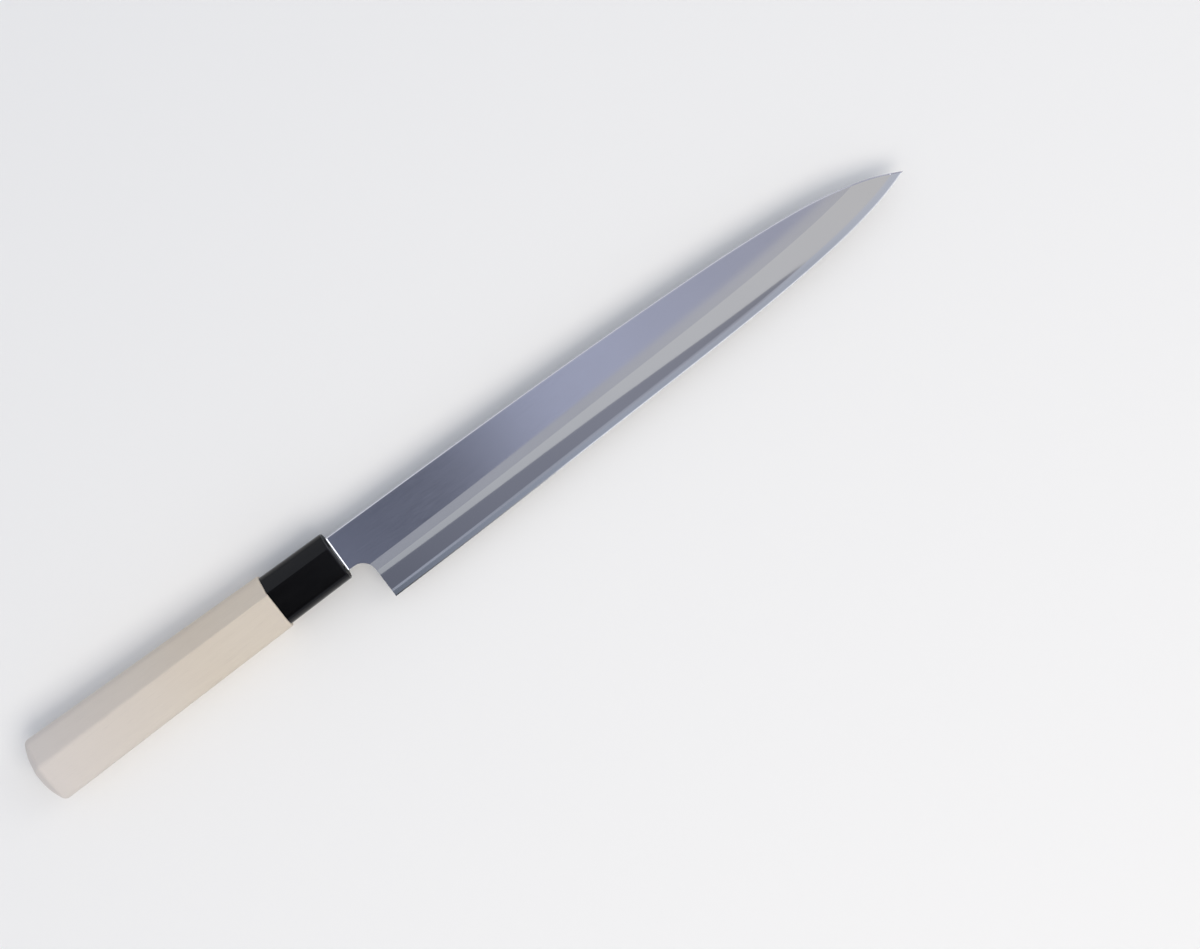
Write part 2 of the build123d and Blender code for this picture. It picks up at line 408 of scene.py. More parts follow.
def loop_stack(places, loops, closed=False):
    """A skin over a stack of loops at the given places along X. It is capped at both ends with a fan
    from the loop's middle, or joined end to end if it is closed. Returns points and triangles."""
    sections, around = loops.shape[:2]
    points = np.concatenate([np.repeat(places, around)[:, None], loops.reshape(-1, 2)], 1)
    index = np.arange(sections * around).reshape(sections, around)
    if closed:
        index = np.concatenate([index, index[:1]])
    left, right = index[:-1], index[1:]
    quads = np.stack([left, np.roll(left, -1, 1), np.roll(right, -1, 1), right], -1).reshape(-1, 4)
    triangles = np.concatenate([quads[:, [0, 1, 2]], quads[:, [0, 2, 3]]])
    if not closed:
        middles = [np.append(places[end], loops[end].mean(0)) for end in (0, -1)]
        points = np.concatenate([points, middles])
        first, last = index[0], index[-1]
        fans = [
            np.stack([np.full(around, len(points) - 2), np.roll(first, -1), first], -1),
            np.stack([np.full(around, len(points) - 1), last, np.roll(last, -1)], -1),
        ]
        triangles = np.concatenate([triangles, *fans])
    return points, triangles


def add_piece(name, mesh, materials, crease_angle, node):
    """Puts a finished mesh into the scene as a piece that stands for a solid. Its faces are shaded
    smooth, but for creases of at least crease_angle degrees."""
    for material in materials:
        mesh.materials.append(material)
    mesh.shade_smooth()
    mesh.set_sharp_from_angle(angle=math.radians(crease_angle))
    piece = bpy.data.objects.new(name, mesh)
    bpy.context.scene.collection.objects.link(piece)
    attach(piece, "root")
    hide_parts(node)


# Blade
class BladePlan:
    """The blade from above, with its spine, edge and neck, and the heights of its two sides."""

    def __init__(self, sizes):
        self.sizes = sizes
        self.tip_x = sizes.neck_length + sizes.edge_length
        self.heel_y = sizes.spine_height - sizes.heel_height
        self.neck_y = sizes.spine_height - sizes.shoulder_height
        places = OUTLINE_SHARES[:, 0] * self.tip_x
        tip_y = sizes.spine_height - sizes.heel_height * TIP_DROP_SHARE
        self.spine_knots = np.concatenate([[0], places, [self.tip_x]])
        self.spine_values = np.concatenate(
            [[sizes.spine_height], sizes.spine_height - sizes.heel_height * OUTLINE_SHARES[:, 1], [tip_y]]
        )
        self.edge_knots = np.concatenate([[sizes.neck_length], places, [self.tip_x]])
        self.edge_values = np.concatenate(
            [[self.heel_y], self.heel_y + sizes.heel_height * OUTLINE_SHARES[:, 2], [tip_y]]
        )

    def spine(self, x):
        """Height of the spine at x."""
        return smooth_curve(self.spine_knots, self.spine_values, x)

    def edge(self, x):
        """Height of the cutting edge at x. The grind behind the heel goes straight on."""
        return smooth_curve(self.edge_knots, self.edge_values, np.maximum(x, self.sizes.neck_length))

    def neck_line(self, x):
        """Lower outline of the neck: straight, then a quarter circle down to the heel's line."""
        radius = self.sizes.neck_radius
        start = self.sizes.neck_length - radius
        along = np.clip(x - start, 0, radius)
        return self.neck_y - radius + np.sqrt(radius**2 - along**2)

    def thin(self, x):
        """Thickness at x as a share of that at the shoulder: it falls evenly towards the tip."""
        return 1 - self.sizes.thinning * np.clip(x / self.tip_x, 0, 1)

    def top(self, x, y):
        """Height of the bevelled side above the back: the lowest of the planes of the edge, the bevel,
        the band under the ridge and the flat side, each straight across the blade. The bevel bulges by a
        parabola across it, and the ridge line is softer towards the tip."""
        s = self.sizes
        out = y - self.edge(x)
        facet = mix_along(s.edge_thickness, s.core_thickness, out / s.core_band)
        climb = (out - s.core_band) / (s.bevel_width - s.core_band)
        inside = np.clip(climb, 0, 1)
        crown = 4 * s.bevel_crown * inside * (1 - inside)
        bevel = mix_along(s.core_thickness, s.bevel_thickness, climb) + crown
        band_climb = (out - s.bevel_width) / (s.ridge_width - s.bevel_width)
        band = mix_along(s.bevel_thickness, s.ridge_thickness, band_climb)
        flat_width = s.spine_height + OVERRUN - self.edge(x) - s.ridge_width
        flat = mix_along(s.ridge_thickness, s.spine_thickness, (out - s.ridge_width) / flat_width)
        grown = np.clip((x - RIDGE_BLEND_START) / RIDGE_BLEND_STRETCH, 0, 1)
        ridge_blend = RIDGE_BLEND + RIDGE_BLEND_GROWTH * grown * grown * (3 - 2 * grown)
        height = soft_minimum(soft_minimum(bevel, band, BEVEL_BLEND), flat, ridge_blend)
        height = np.minimum(height, np.where(out < s.core_band + SLIGHT, facet, np.inf))
        return height * self.thin(x)

    def hollow(self, x, y):
        """Height of the hollow over the plane of the back: a shallow parabola across, deep where the
        blade is wide, that runs out at the heel."""
        s = self.sizes
        low = self.edge(x) + s.hollow_edge_rim
        high = self.spine(x) - s.hollow_spine_rim
        half = np.maximum((high - low) / 2, SLIGHT)
        full = (s.heel_height - s.hollow_edge_rim - s.hollow_spine_rim) / 2
        across = np.clip(1 - ((y - (low + high) / 2) / half) ** 2, 0, None)
        start = s.neck_length + s.hollow_heel_rim
        run = np.clip((x - start) / HOLLOW_RUN_IN, 0, 1)
        return s.hollow_depth * np.minimum(half / full, 1) ** 2 * across * (1 - (1 - run) ** 2) * (high > low)


def plan_grid(plan, rows_at, lowest_row):
    """Quads over the blade seen from above. rows_at(x) gives a column of heights for each x. The neck
    takes the rows from lowest_row up, held above its own outline, and shares its last column with the
    blade. The blade's columns stand closer together towards the tip, and one stands where the hollow
    starts. Returns the points (x, y), the quads as indices and the row of each quad."""
    s = plan.sizes
    neck_turns = spread(0, math.pi / 2, 15)
    neck_arc = s.neck_length - s.neck_radius + s.neck_radius * np.sin(neck_turns)
    neck_x = np.concatenate([[0, s.shoulder_line, s.shoulder_line + LINE_WALL], neck_arc])
    crowding = 1.35
    blade_x = s.neck_length + s.edge_length * (1 - (1 - spread(0, 1, 300)) ** crowding)
    hollow_start = s.neck_length + s.hollow_heel_rim
    blade_x[np.argmin(np.abs(blade_x - hollow_start))] = hollow_start
    blade_rows = rows_at(blade_x)
    neck_rows = np.broadcast_to(blade_rows[:, :1], (len(blade_rows), len(neck_x)))[lowest_row:].copy()
    neck_rows[:, :-1] = np.maximum(neck_rows[:, :-1], plan.neck_line(neck_x[:-1]))
    neck_rows[0] = plan.neck_line(neck_x)
    neck_rows[-1] = plan.spine(neck_x)
    blade_points = np.stack([np.broadcast_to(blade_x, blade_rows.shape), blade_rows], -1)
    neck_points = np.stack([np.broadcast_to(neck_x, neck_rows.shape), neck_rows], -1)
    quads = []
    base = 0
    for points in (blade_points, neck_points):
        index = base + np.arange(points.shape[0] * points.shape[1]).reshape(points.shape[:2])
        around = [index[:-1, :-1], index[:-1, 1:], index[1:, 1:], index[1:, :-1]]
        quads.append(np.stack(around, -1).reshape(-1, 4))
        base += index.size
    points = np.concatenate([blade_points.reshape(-1, 2), neck_points.reshape(-1, 2)])
    quads = np.concatenate(quads)
    row_of_quad = np.concatenate(
        [
            np.repeat(np.arange(blade_points.shape[0] - 1), blade_points.shape[1] - 1),
            np.repeat(np.arange(lowest_row, blade_points.shape[0] - 1), neck_points.shape[1] - 1),
        ]
    )
    return points, quads, row_of_quad


def blade_rows(plan, crease_rows, spine_rows):
    """Rows of a blade grid: at fixed distances from the edge, then evenly up to the first of the rows at
    fixed distances from the spine. Where the blade is too narrow for all of them, rows fold onto their
    neighbours, last of all those of the band of hard steel."""
    in_band = crease_rows <= plan.sizes.core_band + SLIGHT

    def rows_at(x):
        edge, spine = plan.edge(x), plan.spine(x)
        highest = np.maximum(spine - plan.sizes.spine_ease, edge)
        band = np.minimum(edge + crease_rows[in_band][:, None], highest)
        ceiling = np.maximum(spine - spine_rows[0], band[-1])
        low = np.clip(edge + crease_rows[~in_band][:, None], band[-1], ceiling)
        middle = mix_along(low[-1], ceiling, spread(0, 1, 14)[1:, None])
        upper = np.maximum(spine - spine_rows[1:, None], band[-1])
        return np.concatenate([band, low, middle, upper])

    return rows_at


# Sections of the handle and the tang
def rounded_loops(corners, radii):
    """Closed loops with rounded corners. corners is (corner, loop, 2) and radii (corner, loop). At each
    corner the two sides are joined by an arc that touches both: its centre lies on the bisector at
    radius / sin(half the corner's angle). Returns (loop, point, 2)."""
    least = 1e-6
    before = np.roll(corners, 1, 0) - corners
    after = np.roll(corners, -1, 0) - corners
    before /= np.linalg.norm(before, axis=-1, keepdims=True)
    after /= np.linalg.norm(after, axis=-1, keepdims=True)
    half = np.arccos(np.clip((before * after).sum(-1), -1, 1)) / 2
    inward = before + after
    size = np.linalg.norm(inward, axis=-1, keepdims=True)
    across = np.stack([-before[..., 1], before[..., 0]], -1)
    inward = np.where(size > least, inward / np.maximum(size, least), across)
    centre = corners + inward * (radii / np.sin(half))[..., None]
    touch = (radii / np.tan(half))[..., None]
    start = corners + before * touch - centre
    end = corners + after * touch - centre
    turn = np.maximum(math.pi - 2 * half, least)[..., None]
    t = spread(0, 1, ARC_STEPS)[None, None, :]
    from_start = (np.sin((1 - t) * turn) / np.sin(turn))[..., None]
    from_end = (np.sin(t * turn) / np.sin(turn))[..., None]
    arc = from_start * start[:, :, None, :] + from_end * end[:, :, None, :]
    points = centre[:, :, None, :] + arc
    return np.moveaxis(points, 0, 1).reshape(corners.shape[1], -1, 2)


def handle_loops(height, depth, middle, ridge_share, ridge_round):
    """Sections of the handle: a ridge between two flat faces on the bevelled side and a round belly.
    All arguments are arrays with one value for each section."""
    narrow = np.minimum(height, depth)
    high, low, top = middle + height / 2, middle - height / 2, depth / 2
    corners = np.array(
        [
            (high - ridge_share * height, top),
            (low, top - LOWER_FALL * depth),
            (low, -top),
            (high, -top),
            (high, top - UPPER_FALL * depth),
        ]
    )
    face, belly = FACE_ROUND * narrow, BELLY_ROUND * narrow
    radii = np.array([ridge_round, face, belly, belly, face])
    return rounded_loops(np.moveaxis(corners, 1, 2), radii)


def block_loops(height, thickness, radius):
    """Sections of a rectangular bar with rounded corners. A fifth corner on its straight top, all but
    sharp, gives them as many points as the handle's sections."""
    fifth_place, fifth_round = 0.3, 0.01
    high, top = height / 2, thickness / 2
    corners = np.array([(fifth_place * high, top), (-high, top), (-high, -top), (high, -top), (high, top)])
    radii = np.array([fifth_round * radius, radius, radius, radius, radius])
    return rounded_loops(np.moveaxis(corners, 1, 2), radii)


def tang_loops(blade, places, margin, corner):
    """Sections round the tang at places along X: its straight taper with a margin on every side."""
    t = -places / blade.tang_length
    height = mix_along(blade.tang_height, blade.tang_end_height, t) + 2 * margin
    thickness = mix_along(blade.tang_thickness, blade.tang_end_thickness, t) + 2 * margin
    return block_loops(height, thickness, corner + np.zeros(len(places)))


# Pieces
def build_cladding(sizes):
    """The soft steel: flat side, ridge line, bevel, neck, shoulder and tang. Its top is the plan's top
    less the straight falls of the spine's corner and of the filed line, and its bottom is the weld."""
    plan = BladePlan(sizes)
    s = sizes
    heel_gap = plan.neck_y - s.neck_radius - plan.heel_y
    bevel_rows = spread(s.core_band, s.bevel_width, 16)
    band_rows = s.bevel_width + np.array([1.2, 2.2, 3.0]) * MM
    ridge_rows = s.ridge_width + np.array([-0.3, -0.15, 0, 0.15, 0.3, 0.6, 1.0, 1.6, 2.3, 3.1]) * MM
    crease_rows = np.concatenate([bevel_rows, [heel_gap], band_rows, ridge_rows])
    crease_rows = np.unique(np.round(crease_rows, 7))
    lowest = int(np.argmin(np.abs(crease_rows - heel_gap)))
    spine_rows = s.spine_ease * np.array([1.1, 1, 0])
    points, quads, rows = plan_grid(plan, blade_rows(plan, crease_rows, spine_rows), lowest)
    x, y = points[:, 0], points[:, 1]
    to_spine = np.clip(1 - (plan.spine(x) - y) / s.spine_ease, 0, 1)
    spine_fall = s.spine_slope * s.spine_ease * to_spine
    line_end = s.shoulder_line + LINE_WALL / 2
    line_fall = s.shoulder_slope * np.where(x < line_end, x, 0)
    top = plan.top(x, y) - spine_fall - line_fall - s.back_depth
    bottom = s.core_thickness * plan.thin(x) - s.back_depth
    top = np.maximum(top, bottom + SLIGHT)
    bevel, flat, hidden, shoulder = range(4)
    slots = np.where(rows < np.searchsorted(crease_rows, s.bevel_width - SLIGHT), bevel, flat)
    slots = np.where(points[quads, 0].max(1) < line_end, shoulder, slots)
    blade = slab_mesh("cladding", points, quads, top, bottom, slots, hidden, hidden)
    places = -s.tang_length * np.array([0.0, 0.5, 0.99, 1.0])
    margins = np.array([0, 0, 0, -0.3]) * MM
    tang_points, tang_faces = loop_stack(places, tang_loops(s, places, margins, TANG_CORNER))
    tang = make_mesh("tang", tang_points, tang_faces[:, ::-1], np.full(len(tang_faces), hidden))
    return join_meshes("cladding", [blade, tang])


def build_core(sizes):
    """The hard steel: the facet along the edge and the hollow back. The facet climbs straight from the
    edge to the weld, but for a flatter strip below the weld line and a steeper one at the very edge."""
    plan = BladePlan(sizes)
    s = sizes
    heel_gap = plan.neck_y - s.neck_radius - plan.heel_y
    foot = s.core_band - s.weld_strip
    beside_foot = 0.1 * MM
    facet_rows = [0, s.honed_band, 0.8 * MM, 1.4 * MM, foot - beside_foot, foot + beside_foot, 2.5 * MM]
    back_rows = spread(s.core_band, heel_gap, 6)[1:]
    crease_rows = np.concatenate([np.sort(facet_rows), [s.core_band], back_rows])
    lowest = len(crease_rows) - 1
    spine_rows = np.array([s.hollow_spine_rim, s.spine_ease, 0])
    points, quads, _ = plan_grid(plan, blade_rows(plan, crease_rows, spine_rows), lowest)
    x, y = points[:, 0], points[:, 1]
    out = y - plan.edge(x)
    weld = s.core_thickness * plan.thin(x)
    fuller = s.weld_ease * np.interp(out, [0, foot, s.core_band], [0, 1, 0])
    climb = np.minimum(np.clip(out / s.core_band, 0, 1) + fuller, 1)
    honed = HONING_SHARE * s.edge_thickness * np.clip(1 - out / s.honed_band, 0, 1)
    facet = mix_along(s.edge_thickness, weld, climb) - honed
    top = np.where(x < s.neck_length - SLIGHT, weld, np.minimum(facet, weld)) - s.back_depth
    bottom = plan.hollow(x, y) - s.back_depth
    top = np.maximum(top, bottom + SLIGHT)
    edge, back, hidden = range(3)
    return slab_mesh("core", points, quads, top, bottom, np.full(len(quads), edge), back, hidden)


def butt_profile(s):
    """The butt from its crown to its rim, as distances from the crown and shares of the full section: the
    arc of the dome, joined to the side of the handle by a smaller arc that touches both."""
    half = s.wood_butt_height / 2
    radius = (half**2 + s.butt_dome**2) / (2 * s.butt_dome)
    corner = half - s.butt_round
    corner_x = radius - math.sqrt((radius - s.butt_round) ** 2 - corner**2)
    touch = corner * radius / (radius - s.butt_round)
    across = touch * np.sin(spread(0.05, 1, 14) * math.pi / 2)
    last_turn = math.asin((radius - corner_x) / (radius - s.butt_round))
    turns = last_turn * spread(1, 0, 12)[1:]
    dome = radius - np.sqrt(radius**2 - across**2)
    places = np.concatenate([dome, corner_x - s.butt_round * np.sin(turns)])
    return places, np.concatenate([across, corner + s.butt_round * np.cos(turns)]) / half


def build_wood(s):
    """The wood: the handle's section along a straight taper, closed by the dome of the butt behind and
    turned in by a quarter circle at its front rim. A section just before the rim keeps the sides
    looking straight up to it."""
    butt_x = -s.shoulder_gap - s.handle_length
    rim_x = -s.shoulder_gap - s.ferrule_length - s.wood_rim
    butt_places, butt_shares = butt_profile(s)
    start = butt_x + butt_places[-1]
    before_rim = rim_x - 0.2 * MM
    body = np.append(spread(start, before_rim, 40)[1:], rim_x)
    turns = spread(0, math.pi / 2, 6)[1:]
    places = np.concatenate([butt_x + butt_places, body, rim_x + s.wood_rim * np.sin(turns)])
    scale = np.concatenate([butt_shares, np.ones(len(body) + len(turns))])
    inset = np.concatenate([np.zeros(len(butt_shares) + len(body)), s.wood_rim * (1 - np.cos(turns))])
    t = np.clip((places - start) / (rim_x - start), 0, 1)
    loops = handle_loops(
        scale * mix_along(s.wood_butt_height, s.wood_front_height, t) - 2 * inset,
        scale * mix_along(s.wood_butt_depth, s.wood_front_depth, t) - 2 * inset,
        mix_along(-s.butt_drop, 0, t),
        mix_along(s.wood_butt_ridge, s.wood_front_ridge, t),
        scale * mix_along(s.butt_ridge_ease, s.ridge_ease, t),
    )
    points, faces = loop_stack(places, loops)
    return make_mesh("handle", points, faces)


def build_collar(s, blade):
    """The collar, one closed skin: the handle's section with a quarter circle at its front rim outside,
    and inside it the slot round the tang and the pocket for the tenon."""
    front = -s.shoulder_gap
    rim_x = front - s.ferrule_rim
    pocket = front - s.ferrule_wall
    wood_x = front - s.ferrule_length
    before_rim = rim_x - 0.1 * MM
    side = np.append(spread(wood_x, before_rim, 12), rim_x)
    turns = spread(0, math.pi / 2, 7)[1:]
    places = np.concatenate([side, rim_x + s.ferrule_rim * np.sin(turns)])
    inset = np.concatenate([np.zeros(len(side)), s.ferrule_rim * (1 - np.cos(turns))])
    t = np.clip((places - wood_x) / (rim_x - wood_x), 0, 1)
    outer = handle_loops(
        mix_along(s.ferrule_rear_height, s.ferrule_front_height, t) - 2 * inset,
        mix_along(s.ferrule_rear_depth, s.ferrule_front_depth, t) - 2 * inset,
        mix_along(0, s.ferrule_front_rise, t),
        np.full(len(places), s.ferrule_ridge),
        np.full(len(places), COLLAR_EASE_SHARE * s.ridge_ease),
    )
    slot = tang_loops(blade, np.array([front, pocket]), s.seal_margin, SLOT_CORNER)
    socket = block_loops(np.full(2, s.tenon_height), np.full(2, s.tenon_depth), np.full(2, s.tenon_round))
    places = np.concatenate([places, [front, pocket, pocket, wood_x]])
    points, faces = loop_stack(places, np.concatenate([outer, slot, socket]), closed=True)
    on_front = points[faces, 0].min(1) > front - SLIGHT
    return make_mesh("ferrule", points, faces, on_front)


def build_bead(s, blade):
    """The bead of resin: the slot's section up to the collar's mouth, an arc that draws in to the crown
    in front of it, and the tang's own section inside."""
    arc_share, corner_growth = 0.75, 0.3
    front = -s.shoulder_gap
    pocket = front - s.ferrule_wall
    crown = front + s.seal_stand
    out = np.array([0.5, 0.8, 1.0])
    places = np.concatenate([[pocket, front], front + s.seal_stand * out, [crown, pocket]])
    margins = s.seal_margin * np.concatenate([[1, 1], np.sqrt(1 - (arc_share * out) ** 2), [0, 0]])
    loops = tang_loops(blade, places, margins, SLOT_CORNER + corner_growth * margins)
    points, faces = loop_stack(places, loops, closed=True)
    return make_mesh("seal", points, faces)


# Materials
def steel(name, colour, roughness, hatch, along, depth, cloud):
    """Ground steel. The stone leaves straight lines, along the blade or across it, that draw the gloss
    out, and the surface is a little cloudy over a few centimetres. The real lines are some hundredths of
    a millimetre apart, too fine to show, so they are drawn a tenth or two apart. Hatch and depth are
    their distance and depth in millimetres, and cloud is the share of light lost in the darkest cloud."""
    drawn_out = 60
    cloud_size = 22 * MM
    material, tree, shader = new_material(name)
    place = add_node(tree, "ShaderNodeTexCoord").outputs["Object"]
    stretch = (1, drawn_out, drawn_out) if along else (drawn_out, 1, drawn_out)
    stretched = add_node(tree, "ShaderNodeMapping", {"Scale": stretch, "Vector": place}).outputs["Vector"]
    lines = add_node(
        tree, "ShaderNodeTexNoise",
        {"Scale": 1 / (drawn_out * hatch * MM), "Detail": 4.0, "Roughness": 0.6, "Vector": stretched},
    ).outputs["Fac"]
    clouds = add_node(
        tree, "ShaderNodeTexNoise",
        {"Scale": 1 / cloud_size, "Detail": 3.0, "Roughness": 0.5, "Vector": place},
    ).outputs["Fac"]
    shade = add_node(
        tree, "ShaderNodeMapRange", {"To Min": 1 - cloud, "To Max": 1 + 0.4 * cloud, "Value": clouds}
    ).outputs["Result"]
    clouded = add_node(
        tree, "ShaderNodeVectorMath", {"operation": "SCALE", 0: tuple(colour), "Scale": shade}
    ).outputs["Vector"]
    gloss = add_node(
        tree, "ShaderNodeMapRange",
        {
            "From Min": 0.3, "From Max": 0.7, "To Min": 0.8 * roughness, "To Max": 1.25 * roughness,
            "Value": lines,
        },
    ).outputs["Result"]
    relief = add_node(
        tree, "ShaderNodeBump", {"Strength": 1.0, "Distance": depth * MM, "Height": lines}
    ).outputs["Normal"]
    fill(tree, shader, {"Base Color": clouded, "Metallic": 1.0, "Roughness": gloss, "Normal": relief})
    return material


def magnolia_wood(s):
    """Magnolia, planed and sanded but not oiled: pale, even and straight-grained, with faint fine lines
    along the handle, short pores, a slightly pinker cloud here and there and paler sapwood towards the
    butt. It looks dry and matt. Real pores are finer, and are drawn coarse enough to show."""
    grain_length, grain_stretch = 24 * MM, 14
    pore_length, pore_stretch = 7 * MM, 30
    cloud_size = 55 * MM
    sapwood_start, sapwood_end = -60 * MM, -135 * MM
    material, tree, shader = new_material("sanded_magnolia")
    place = add_node(tree, "ShaderNodeTexCoord").outputs["Object"]
    stretched = add_node(
        tree, "ShaderNodeMapping", {"Scale": (1, grain_stretch, grain_stretch), "Vector": place}
    ).outputs["Vector"]
    grain = add_node(
        tree, "ShaderNodeTexNoise",
        {
            "Scale": 1 / grain_length, "Detail": 6.0, "Roughness": 0.62, "Distortion": 0.15,
            "Vector": stretched,
        },
    ).outputs["Fac"]
    fine = add_node(
        tree, "ShaderNodeMapping", {"Scale": (1, pore_stretch, pore_stretch), "Vector": place}
    ).outputs["Vector"]
    pores = add_node(
        tree, "ShaderNodeTexNoise",
        {"Scale": 1 / pore_length, "Detail": 2.0, "Roughness": 0.5, "Vector": fine},
    ).outputs["Fac"]
    clouds = add_node(
        tree, "ShaderNodeTexNoise", {"Scale": 1 / cloud_size, "Detail": 2.0, "Vector": place}
    ).outputs["Fac"]
    along = add_node(tree, "ShaderNodeSeparateXYZ", {"Vector": place}).outputs["X"]
    to_butt = add_node(
        tree, "ShaderNodeMapRange", {"From Min": sapwood_start, "From Max": sapwood_end, "Value": along}
    ).outputs["Result"]
    lined = add_node(
        tree, "ShaderNodeMix",
        {"data_type": "RGBA", 0: grain, 6: (*s.wood_colour, 1), 7: (*s.grain_colour, 1)},
    ).outputs[2]
    pinker = add_node(
        tree, "ShaderNodeMix",
        {"data_type": "RGBA", "blend_type": "MULTIPLY", 0: clouds, 6: lined, 7: linear("faf3ee")},
    ).outputs[2]
    paler = add_node(
        tree, "ShaderNodeMix", {"data_type": "RGBA", 0: to_butt, 6: pinker, 7: (*s.sapwood_colour, 1)}
    ).outputs[2]
    pore_shade = add_node(
        tree, "ShaderNodeMapRange",
        {"From Min": 0.30, "From Max": 0.42, "To Min": 0.95, "To Max": 1.0, "Value": pores},
    ).outputs["Result"]
    pored = add_node(
        tree, "ShaderNodeVectorMath", {"operation": "SCALE", 0: paler, "Scale": pore_shade}
    ).outputs["Vector"]
    relief = add_node(
        tree, "ShaderNodeBump", {"Strength": 0.5, "Distance": 0.06 * MM, "Height": pores}
    ).outputs["Normal"]
    fill(
        tree, shader,
        {"Base Color": pored, "Roughness": 0.58, "Specular IOR Level": 0.4, "Normal": relief},
    )
    return material


def black_horn(name, s, roughness, specular):
    """Black buffalo horn or a moulded copy of it, buffed on its sides and only sanded on its ends: nearly
    even black, with faint cloudy streaks under the surface and a fine polishing haze in the gloss."""
    streak_length, streak_stretch = 12 * MM, 4
    material, tree, shader = new_material(name)
    place = add_node(tree, "ShaderNodeTexCoord").outputs["Object"]
    stretched = add_node(
        tree, "ShaderNodeMapping", {"Scale": (1, streak_stretch, streak_stretch), "Vector": place}
    ).outputs["Vector"]
    streaks = add_node(
        tree, "ShaderNodeTexNoise",
        {"Scale": 1 / streak_length, "Detail": 5.0, "Roughness": 0.6, "Vector": stretched},
    ).outputs["Fac"]
    colour = add_node(
        tree, "ShaderNodeMix",
        {"data_type": "RGBA", 0: streaks, 6: (*s.collar_colour, 1), 7: (*s.streak_colour, 1)},
    ).outputs[2]
    haze = add_node(
        tree, "ShaderNodeMapRange",
        {"To Min": 0.75 * roughness, "To Max": 1.25 * roughness, "Value": streaks},
    ).outputs["Result"]
    fill(
        tree, shader,
        {"Base Color": colour, "Roughness": haze, "IOR": 1.55, "Specular IOR Level": specular},
    )
    return material


def cured_resin(s):
    """Clear epoxy, poured round the tang and wiped: thin over the black collar, so it reads as grey, and
    glossy and slightly uneven, with a wet look."""
    ripple_size, ripple_depth = 1.5 * MM, 0.15 * MM
    material, tree, shader = new_material("cured_resin")
    place = add_node(tree, "ShaderNodeTexCoord").outputs["Object"]
    ripples = add_node(
        tree, "ShaderNodeTexNoise", {"Scale": 1 / ripple_size, "Detail": 2.0, "Vector": place}
    ).outputs["Fac"]
    colour = add_node(
        tree, "ShaderNodeMix",
        {"data_type": "RGBA", 0: ripples, 6: (*s.resin_colour, 1), 7: (*s.resin_shade, 1)},
    ).outputs[2]
    relief = add_node(
        tree, "ShaderNodeBump", {"Strength": 0.6, "Distance": ripple_depth, "Height": ripples}
    ).outputs["Normal"]
    fill(tree, shader, {"Base Color": colour, "Roughness": 0.2, "Normal": relief})
    return material


def pale_floor(settings):
    """Matt paper, unrolled as a sweep: plain and pale. Well away from the knife it fades, for the camera
    only, into the even tone of the background."""
    material, tree, shader = new_material("pale_paper_floor")
    paper = (*settings.floor_colour, 1)
    fill(tree, shader, {"Base Color": paper, "Roughness": 0.9, "Specular IOR Level": 0.1})
    place = add_node(tree, "ShaderNodeTexCoord").outputs["Object"]
    away = add_node(tree, "ShaderNodeVectorMath", {"operation": "LENGTH", 0: place}).outputs["Value"]
    start, end = settings.fade_start, settings.fade_end
    fade = add_node(
        tree, "ShaderNodeMapRange",
        {"interpolation_type": "SMOOTHSTEP", "From Min": start, "From Max": end, "Value": away},
    ).outputs["Result"]
    to_camera = add_node(tree, "ShaderNodeLightPath").outputs["Is Camera Ray"]
    seen = add_node(
        tree, "ShaderNodeMath", {"operation": "MULTIPLY", 0: fade, 1: to_camera}
    ).outputs["Value"]
    even = add_node(
        tree, "ShaderNodeEmission", {"Color": (*settings.sweep_colour, 1)}
    ).outputs["Emission"]
    blend = add_node(
        tree, "ShaderNodeMixShader", {0: seen, 1: shader.outputs["BSDF"], 2: even}
    ).outputs["Shader"]
    fill(tree, tree.nodes["Material Output"], {"Surface": blend})
    return material


# Building steps
class KNIFE_OT_blade(bpy.types.Operator):
    """Build the two steel layers of the blade"""

    bl_idname = "knife.blade"
    bl_label = "Blade"

    def execute(self, context):
        s = context.scene.knife_blade
        # Ground across the blade on a fine stone: close to a mirror
        bevel = steel("ground_bevel_steel", s.bevel_colour, 0.03, 0.12, along=False, depth=0.0001, cloud=0.03)
        # Drawn lengthwise on a fine belt: an even satin sheen
        flat = steel("satin_flat_steel", s.flat_colour, 0.16, 0.12, along=True, depth=0.0003, cloud=0.05)
        # Forged and roughly ground: dull and blotchy
        hidden = steel("forged_side_steel", s.forged_colour, 0.40, 0.20, along=True, depth=0.0015, cloud=0.12)
        # Honed across the edge on a finishing stone: bright with a little haze
        edge = steel("honed_edge_steel", s.edge_colour, 0.07, 0.08, along=False, depth=0.0002, cloud=0.03)
        # Hollow-ground across the blade on a wheel: a soft gloss
        back = steel("hollow_ground_steel", s.back_colour, 0.20, 0.15, along=False, depth=0.0004, cloud=0.05)
        # Filed across the neck and smoothed: a bright line
        line = steel("filed_shoulder_steel", s.edge_colour, 0.12, 0.10, along=False, depth=0.0002, cloud=0.03)
        crease_angle = 2.5
        mesh = build_cladding(s)
        faces = [bevel, flat, hidden, line]
        add_piece("blade_cladding_steel", mesh, faces, crease_angle, "blade_cladding")
        mesh = build_core(s)
        faces = [edge, back, hidden]
        add_piece("blade_core_steel", mesh, faces, crease_angle, "blade_core")
        return {"FINISHED"}


